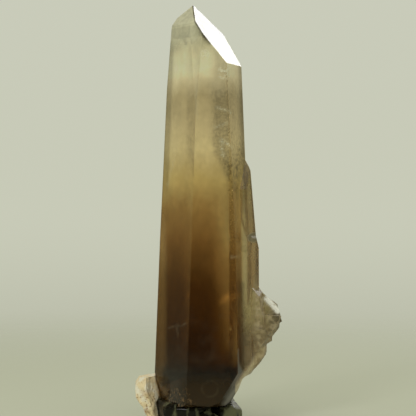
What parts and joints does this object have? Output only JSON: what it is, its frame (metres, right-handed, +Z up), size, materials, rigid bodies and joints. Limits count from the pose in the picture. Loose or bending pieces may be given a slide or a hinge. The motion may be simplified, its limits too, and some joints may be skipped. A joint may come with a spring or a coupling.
{
  "type": "smoky quartz crystal",
  "caption": "Tall smoky quartz crystal with a chisel tip, slim side crystals, a broken flake, a feldspar knob and a dark crystal foot; it stands on its flat base.",
  "frame": {"origin": "on the flat cut under the foot, below the axis of the tall crystal", "axes": "+Z up along the tall crystal, +X to its right and +Y to its back, seen from the front"},
  "size_m": [0.0395, 0.0249, 0.1135],
  "materials": {
    "smoky_quartz": "clear smoky brown, darker towards the foot, with natural satin crystal faces",
    "cream_feldspar": "dull cream with rusty brown specks",
    "dark_quartz": "nearly black and glossy"
  },
  "bodies": {
    "root": {"quartz_crystal": "smoky_quartz", "feldspar_knob": "cream_feldspar", "foot_crystals": "dark_quartz"}
  },
  "joints": []
}
